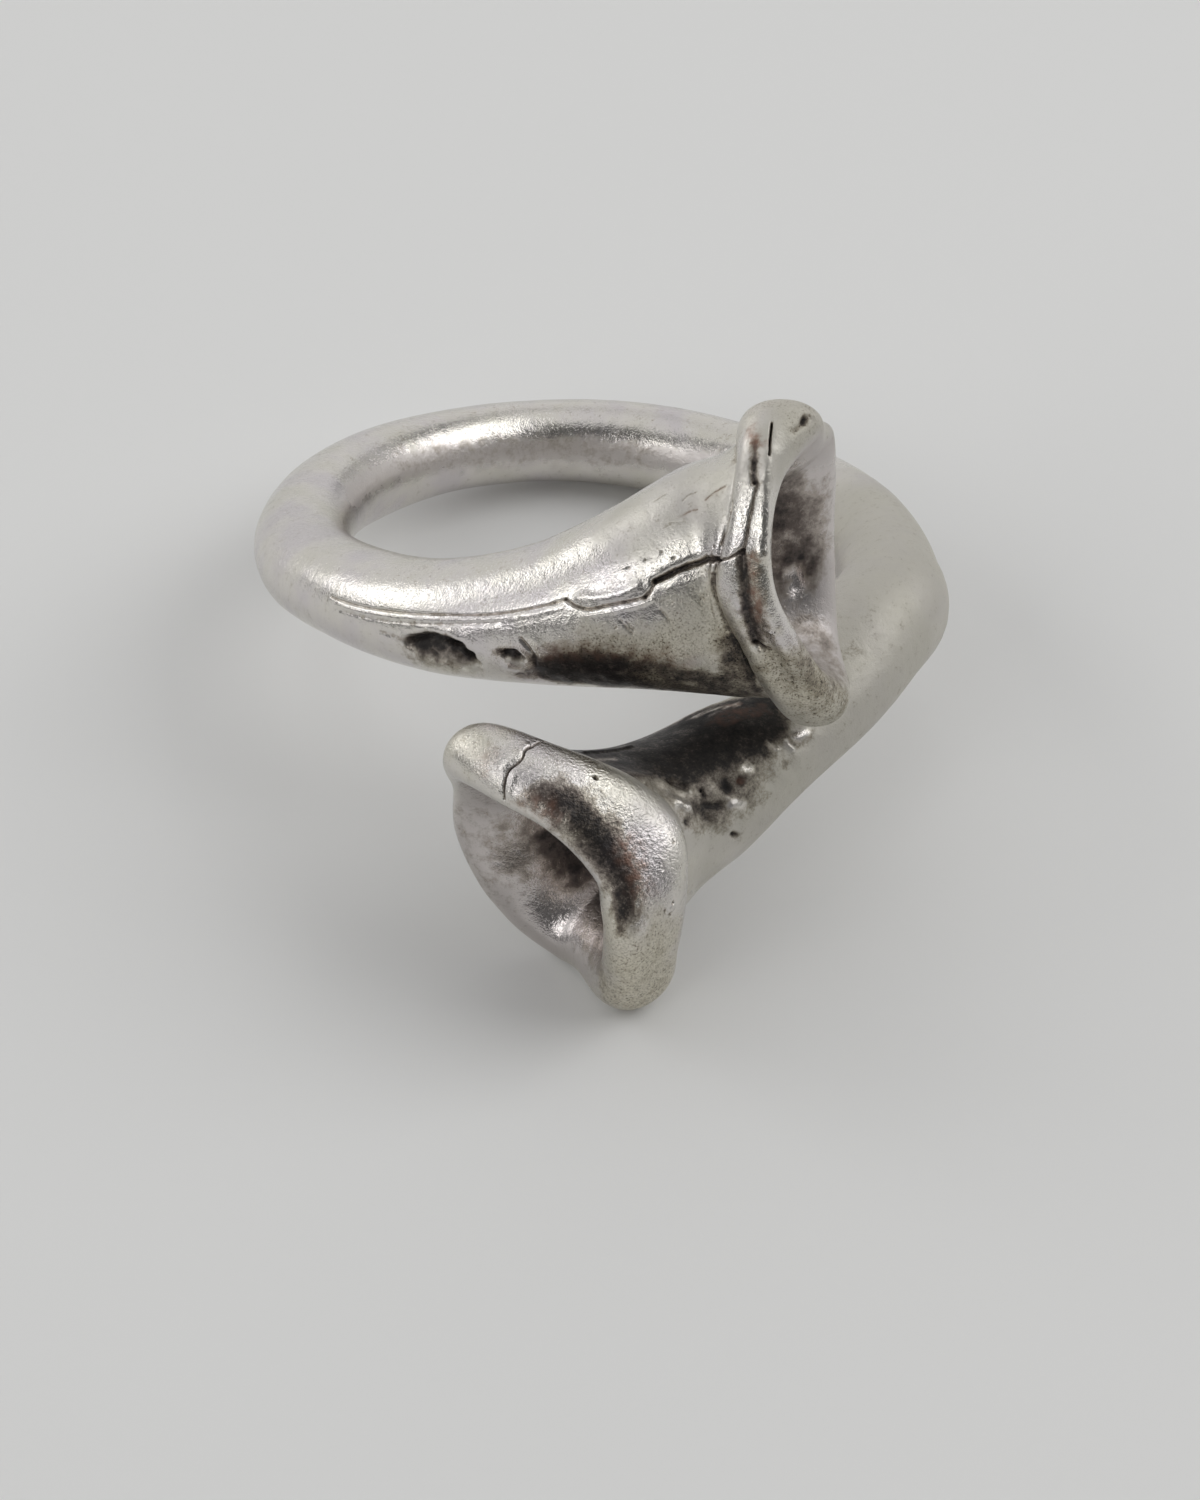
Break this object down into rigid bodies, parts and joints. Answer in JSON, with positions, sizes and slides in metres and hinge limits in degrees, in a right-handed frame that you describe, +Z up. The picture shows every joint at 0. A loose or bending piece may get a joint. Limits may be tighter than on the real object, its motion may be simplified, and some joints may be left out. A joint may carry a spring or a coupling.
{
  "type": "wrap ring",
  "caption": "Cast metal finger ring: a round wire goes round the finger and its swelling ends cross at the front, each opening into a hollow calla flower with a rolled lip.",
  "frame": {"origin": "on the floor, under the middle of the bounding box of the ring as it lies", "axes": "+Z up from the surface the ring lies on; -Y to the front, where the two flowers are; the finger's axis leans 19.4 degrees from +Z towards +Y and 2 degrees towards +X"},
  "size_m": [0.025, 0.0318, 0.0192],
  "materials": {
    "antique_silver": "satin silver, darkened in the hollows and bright on the worn high places"
  },
  "bodies": {
    "root": {"wrap_ring": "antique_silver"}
  },
  "joints": []
}
